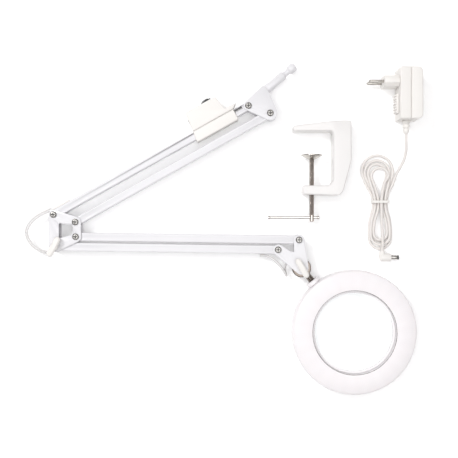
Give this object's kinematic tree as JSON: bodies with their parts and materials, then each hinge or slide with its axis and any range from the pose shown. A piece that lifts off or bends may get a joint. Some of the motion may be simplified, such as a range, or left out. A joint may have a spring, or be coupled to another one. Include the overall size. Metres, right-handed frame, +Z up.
{
  "type": "magnifying lamp",
  "caption": "White folding bench magnifier lamp laid flat: two parallelogram arm sections, lit ring lens head, switch box, detached bench clamp, plug-in supply with a tied cord.",
  "frame": {"origin": "centre of the footprint of everything but the free cord, on the table", "axes": "+X along the longest way across the layout, +Z up from the table, +Y towards the mounting post"},
  "size_m": [0.4982, 0.417, 0.042],
  "materials": {
    "white_paint": "semi-gloss",
    "nickel": "bright",
    "spring_steel": "plain",
    "chrome": "polished",
    "cream_plastic": "fine texture",
    "black_plastic": "satin",
    "head_plastic": "satin",
    "diffuser_plastic": "translucent",
    "lens_glass": "clear",
    "circuit_board": "white solder mask",
    "cord_jacket": "smooth"
  },
  "bodies": {
    "base": {"mounting_post": "white_paint", "base_bracket": "white_paint", "shoulder_outer_screw": "nickel", "shoulder_outer_nut": "nickel", "shoulder_inner_screw": "nickel", "shoulder_inner_nut": "nickel"},
    "upper_outer": {"upper_bar_outer": "white_paint", "upper_spring": "spring_steel", "cable_clip": "cream_plastic", "switch_box_cover": "cream_plastic", "switch_box_saddle": "cream_plastic", "switch_frame": "black_plastic", "dc_socket": "black_plastic"},
    "rocker": {"switch_rocker": "black_plastic"},
    "upper_inner": {"upper_bar_inner": "white_paint"},
    "elbow": {"elbow_bracket": "white_paint", "elbow_upper_outer_screw": "nickel", "elbow_upper_outer_nut": "nickel", "elbow_upper_inner_screw": "nickel", "elbow_upper_inner_nut": "nickel", "elbow_forearm_inner_screw": "nickel", "elbow_forearm_inner_nut": "nickel", "elbow_bolt": "nickel", "elbow_cable": "cord_jacket"},
    "elbow_knob": {"elbow_lever": "cream_plastic"},
    "forearm_inner": {"forearm_bar_inner": "white_paint", "forearm_spring": "spring_steel"},
    "forearm_outer": {"forearm_bar_outer": "white_paint"},
    "head_bracket": {"head_plate_front": "white_paint", "head_plate_back": "white_paint", "wrist_inner_screw": "nickel", "wrist_inner_nut": "nickel", "wrist_outer_screw": "nickel", "wrist_outer_nut": "nickel", "tilt_bolt": "nickel", "head_cable": "cord_jacket"},
    "tilt_knob": {"tilt_lever": "cream_plastic"},
    "knuckle": {"tilt_knuckle": "chrome"},
    "head": {"head_collar": "head_plastic", "head_housing": "head_plastic", "head_diffuser": "diffuser_plastic", "led_board": "circuit_board", "lens": "lens_glass", "lens_retainer": "head_plastic"},
    "clamp": {"clamp_frame": "white_paint"},
    "clamp_pad": {"pressure_pad": "nickel"},
    "clamp_spindle": {"clamp_screw": "chrome"},
    "clamp_handle": {"tommy_bar": "chrome"},
    "supply": {"supply_front": "cream_plastic", "supply_back": "cream_plastic", "plug_neck": "cream_plastic", "plug_pin_upper": "nickel", "plug_pin_lower": "nickel", "supply_latch": "cream_plastic", "strain_relief": "cream_plastic", "cord_lead": "cord_jacket", "cord_hank": "cord_jacket", "cord_tie": "cream_plastic", "dc_plug": "cream_plastic", "dc_plug_barrel": "nickel"}
  },
  "joints": [
    {"name": "shoulder_turn", "type": "hinge", "parent": "base", "child": "upper_outer", "pos_m": [0.0335, 0.1535, 0.0145], "axis": [0, 0, 1], "range_deg": [-3, 50], "deforming": ["upper_spring"]},
    {"name": "shoulder_follow", "type": "hinge", "parent": "base", "child": "upper_inner", "pos_m": [0.06095, 0.14415, 0.0145], "axis": [0, 0, 1], "range_deg": [-3, 50]},
    {"name": "elbow_level", "type": "hinge", "parent": "upper_outer", "child": "elbow", "pos_m": [-0.21092, 0.0169, 0.0145], "axis": [0, 0, 1], "range_deg": [-50, 3], "deforming": ["elbow_cable"]},
    {"name": "elbow_turn", "type": "hinge", "parent": "elbow", "child": "forearm_outer", "pos_m": [-0.20922, -0.0233, 0.0145], "axis": [0, 0, 1], "range_deg": [-112, 3]},
    {"name": "forearm_follow", "type": "hinge", "parent": "elbow", "child": "forearm_inner", "pos_m": [-0.18302, -0.0109, 0.0145], "axis": [0, 0, 1], "range_deg": [-112, 3], "deforming": ["forearm_spring"]},
    {"name": "wrist_level", "type": "hinge", "parent": "forearm_outer", "child": "head_bracket", "pos_m": [0.07075, -0.02721, 0.0145], "axis": [0, 0, 1], "range_deg": [-3, 112], "deforming": ["head_cable"]},
    {"name": "head_tilt", "type": "hinge", "parent": "head_bracket", "child": "knuckle", "pos_m": [0.10046, -0.05001, 0.0145], "axis": [0, 0, 1], "range_deg": [-75, 7]},
    {"name": "head_swivel", "type": "hinge", "parent": "knuckle", "child": "head", "pos_m": [0.10046, -0.05001, 0.0145], "axis": [0.632, -0.7749, 0], "range_deg": [-90, 90]},
    {"name": "elbow_lever_turn", "type": "hinge", "parent": "elbow", "child": "elbow_knob", "pos_m": [-0.20922, -0.0233, 0.0145], "axis": [0, 0, 1], "range_deg": [-180, 180]},
    {"name": "tilt_lever_turn", "type": "hinge", "parent": "head_bracket", "child": "tilt_knob", "pos_m": [0.10046, -0.05001, 0.0145], "axis": [0, 0, 1], "range_deg": [-180, 180]},
    {"name": "switch_press", "type": "hinge", "parent": "upper_outer", "child": "rocker", "pos_m": [-0.0194, 0.15796, 0.0145], "axis": [-0.8729, -0.4879, 0], "range_deg": [0, 14]},
    {"name": "clamp_lift", "type": "slide", "parent": "base", "child": "clamp", "axis": [0, 0, 1], "range_m": [0, 0.1]},
    {"name": "pad_travel", "type": "slide", "parent": "clamp", "child": "clamp_pad", "axis": [0, 1, 0], "range_m": [-0.01, 0.025]},
    {"name": "screw_turn", "type": "hinge", "parent": "clamp_pad", "child": "clamp_spindle", "pos_m": [0.11375, 0.04229, 0.0145], "axis": [0, 1, 0], "range_deg": [-2400, 6000]},
    {"name": "handle_slide", "type": "slide", "parent": "clamp_spindle", "child": "clamp_handle", "axis": [1, 0, 0], "range_m": [-0.003, 0.049]},
    {"name": "supply_lift", "type": "slide", "parent": "base", "child": "supply", "axis": [0, 0, 1], "range_m": [0, 0.1]}
  ],
  "couplings": [
    {"joint": "shoulder_follow", "follows": "shoulder_turn", "ratio": 1},
    {"joint": "elbow_level", "follows": "shoulder_turn", "ratio": -1},
    {"joint": "forearm_follow", "follows": "elbow_turn", "ratio": 1},
    {"joint": "wrist_level", "follows": "elbow_turn", "ratio": -1},
    {"joint": "pad_travel", "follows": "screw_turn", "m_per_rad": 0.00023873}
  ]
}
